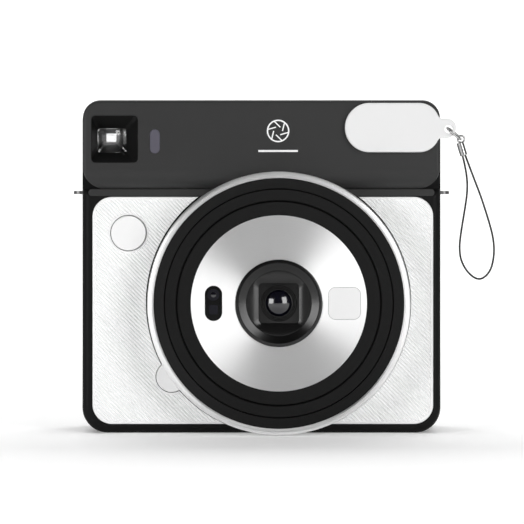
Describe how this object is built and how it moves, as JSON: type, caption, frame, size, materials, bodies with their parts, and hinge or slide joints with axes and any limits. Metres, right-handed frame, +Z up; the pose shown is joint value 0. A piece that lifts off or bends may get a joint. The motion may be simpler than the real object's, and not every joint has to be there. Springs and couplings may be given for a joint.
{
  "type": "instant camera",
  "caption": "Boxy square-format instant camera with a retracting round lens barrel, ribbed front panels, film door, roller film drive and clip-on flash filter on a wrist strap.",
  "frame": {"origin": "centre of the casing's underside, on the surface that it stands on, midway between the lens ring's front and the back face", "axes": "+Z up, -Y the way the lens looks, +X the width, to the right of someone who faces the lens"},
  "size_m": [0.1513, 0.0582, 0.1187],
  "materials": {
    "black_casing": "fine spark-eroded satin",
    "hood_grey": "satin",
    "white_panel": "satin, ribbed on the diagonal",
    "satin_metal": "satin anodised",
    "barrel_black": "satin",
    "brushed_plate": "circular brushed",
    "gloss_black": "polished",
    "lens_glass": "coated and polished",
    "clear_window": "polished",
    "smoked_window": "polished",
    "mirror": "polished",
    "filter_white": "milky translucent",
    "button_white": "smooth satin",
    "button_black": "satin",
    "reflector": "bright",
    "flash_glass": "clear",
    "steel": "plain",
    "spring_steel": "plain",
    "blade_black": "black anodised",
    "brass": "machined",
    "roller_rubber": "matt",
    "gear_nylon": "moulded",
    "chamber_black": "matt, light-trapping",
    "cassette": "moulded",
    "film": "coated",
    "battery_wrap": "printed sleeve, plain",
    "board_green": "solder mask",
    "capacitor_sleeve": "shrink sleeve",
    "cord_black": "braided",
    "check_window_amber": "clear tinted"
  },
  "bodies": {
    "camera_body": {"front_shell": "black_casing", "top_hood": "hood_grey", "back_shell": "black_casing", "left_front_panel": "white_panel", "right_front_panel": "white_panel", "lens_trim_ring": "satin_metal", "barrel_sleeve": "barrel_black", "viewfinder_tube": "chamber_black", "viewfinder_front_lens": "clear_window", "viewfinder_rear_lens": "clear_window", "eyepiece_surround": "button_black", "light_sensor_window": "smoked_window", "flash_window": "clear_window", "flash_reflector": "reflector", "flash_tube": "flash_glass", "flash_capacitor": "capacitor_sleeve", "main_board": "board_green", "film_counter_window": "smoked_window", "film_chamber": "chamber_black", "film_cassette": "cassette", "film_sheets": "film", "hinge_pins": "steel", "batteries": "battery_wrap", "battery_contacts": "spring_steel", "roller_bracket": "steel", "drive_motor": "steel", "strap_lug_left": "satin_metal", "strap_lug_right": "satin_metal", "tripod_socket": "brass", "case_screws": "steel"},
    "outer_barrel": {"outer_barrel": "barrel_black"},
    "inner_barrel": {"inner_barrel": "barrel_black", "lens_plate": "brushed_plate", "lens_bezel": "gloss_black", "front_lens": "lens_glass", "rear_lens": "lens_glass", "shutter_housing": "chamber_black", "sensor_window": "gloss_black", "selfie_mirror": "mirror"},
    "left_blade": {"left_shutter_blade": "blade_black"},
    "right_blade": {"right_shutter_blade": "blade_black"},
    "shutter_button": {"shutter_button": "button_white"},
    "power_button": {"power_button": "button_white"},
    "mode_button": {"mode_button": "button_black"},
    "timer_button": {"timer_button": "button_black"},
    "flash_button": {"flash_button": "button_black"},
    "back_cover": {"back_cover": "black_casing", "film_check_window": "check_window_amber", "pack_springs": "spring_steel"},
    "door_latch": {"door_latch": "button_black"},
    "battery_cover": {"battery_cover": "black_casing"},
    "front_roller": {"front_roller": "roller_rubber"},
    "rear_roller": {"rear_roller": "roller_rubber"},
    "idler_gear": {"idler_gear": "gear_nylon"},
    "motor_pinion": {"motor_pinion": "brass"},
    "film_claw": {"film_claw": "spring_steel"},
    "flash_filter": {"flash_filter": "filter_white"},
    "filter_strap": {"strap_ring": "steel", "strap_ferrule": "satin_metal", "filter_strap_cord": "cord_black"}
  },
  "joints": [
    {"name": "outer_barrel_slide", "type": "slide", "parent": "camera_body", "child": "outer_barrel", "axis": [0, -1, 0], "range_m": [0, 0.0175]},
    {"name": "inner_barrel_slide", "type": "slide", "parent": "outer_barrel", "child": "inner_barrel", "axis": [0, -1, 0], "range_m": [0, 0.0175]},
    {"name": "left_blade_swing", "type": "hinge", "parent": "inner_barrel", "child": "left_blade", "pos_m": [0.0061, -0.0187, 0.0565], "axis": [0, 1, 0], "range_deg": [0, 34], "stiffness_Nm_per_rad": 0.0005, "springref_deg": -11.46},
    {"name": "right_blade_swing", "type": "hinge", "parent": "inner_barrel", "child": "right_blade", "pos_m": [0.0061, -0.0187, 0.0565], "axis": [0, -1, 0], "range_deg": [0, 34], "stiffness_Nm_per_rad": 0.0005, "springref_deg": -11.46},
    {"name": "shutter_press", "type": "slide", "parent": "camera_body", "child": "shutter_button", "axis": [0, 1, 0], "range_m": [0, 0.001], "stiffness_N_per_m": 400, "springref_m": -0.0005},
    {"name": "power_press", "type": "slide", "parent": "camera_body", "child": "power_button", "axis": [0, 1, 0], "range_m": [0, 0.0006], "stiffness_N_per_m": 400, "springref_m": -0.0005},
    {"name": "mode_press", "type": "slide", "parent": "camera_body", "child": "mode_button", "axis": [0, -1, 0], "range_m": [0, 0.0006], "stiffness_N_per_m": 400, "springref_m": -0.0005},
    {"name": "timer_press", "type": "slide", "parent": "camera_body", "child": "timer_button", "axis": [0, -1, 0], "range_m": [0, 0.0006], "stiffness_N_per_m": 400, "springref_m": -0.0005},
    {"name": "flash_press", "type": "slide", "parent": "camera_body", "child": "flash_button", "axis": [0, -1, 0], "range_m": [0, 0.0006], "stiffness_N_per_m": 400, "springref_m": -0.0005},
    {"name": "back_cover_hinge", "type": "hinge", "parent": "camera_body", "child": "back_cover", "pos_m": [0.0606, 0.02725, 0.0515], "axis": [0, 0, -1], "range_deg": [0, 95]},
    {"name": "door_latch_slide", "type": "slide", "parent": "camera_body", "child": "door_latch", "axis": [0, 0, -1], "range_m": [0, 0.005], "stiffness_N_per_m": 100, "springref_m": -0.001},
    {"name": "battery_cover_hinge", "type": "hinge", "parent": "camera_body", "child": "battery_cover", "pos_m": [-0.06275, -0.0074, 0.038], "axis": [0, 0, 1], "range_deg": [0, 90]},
    {"name": "rear_roller_spin", "type": "hinge", "parent": "camera_body", "child": "rear_roller", "pos_m": [0.0061, 0.01275, 0.103], "axis": [1, 0, 0], "continuous": true},
    {"name": "front_roller_spin", "type": "hinge", "parent": "camera_body", "child": "front_roller", "pos_m": [0.0061, 0.00425, 0.103], "axis": [1, 0, 0], "continuous": true},
    {"name": "idler_gear_spin", "type": "hinge", "parent": "camera_body", "child": "idler_gear", "pos_m": [0.051, 0.0215, 0.1029], "axis": [1, 0, 0], "continuous": true},
    {"name": "motor_pinion_spin", "type": "hinge", "parent": "camera_body", "child": "motor_pinion", "pos_m": [0.051, 0.0216, 0.1104], "axis": [1, 0, 0], "continuous": true},
    {"name": "film_claw_slide", "type": "slide", "parent": "camera_body", "child": "film_claw", "axis": [0, 0, 1], "range_m": [0, 0.008]},
    {"name": "flash_filter_pull", "type": "slide", "parent": "camera_body", "child": "flash_filter", "axis": [0, -1, 0], "range_m": [0, 0.025]},
    {"name": "filter_strap_swing", "type": "hinge", "parent": "flash_filter", "child": "filter_strap", "pos_m": [0.0662, -0.02013, 0.10795], "axis": [0, -1, 0], "range_deg": [0, 70]}
  ],
  "couplings": [
    {"joint": "inner_barrel_slide", "follows": "outer_barrel_slide", "ratio": 1},
    {"joint": "right_blade_swing", "follows": "left_blade_swing", "ratio": 1},
    {"joint": "front_roller_spin", "follows": "rear_roller_spin", "ratio": -1},
    {"joint": "idler_gear_spin", "follows": "rear_roller_spin", "ratio": -0.94444},
    {"joint": "motor_pinion_spin", "follows": "rear_roller_spin", "ratio": 1.4167}
  ]
}
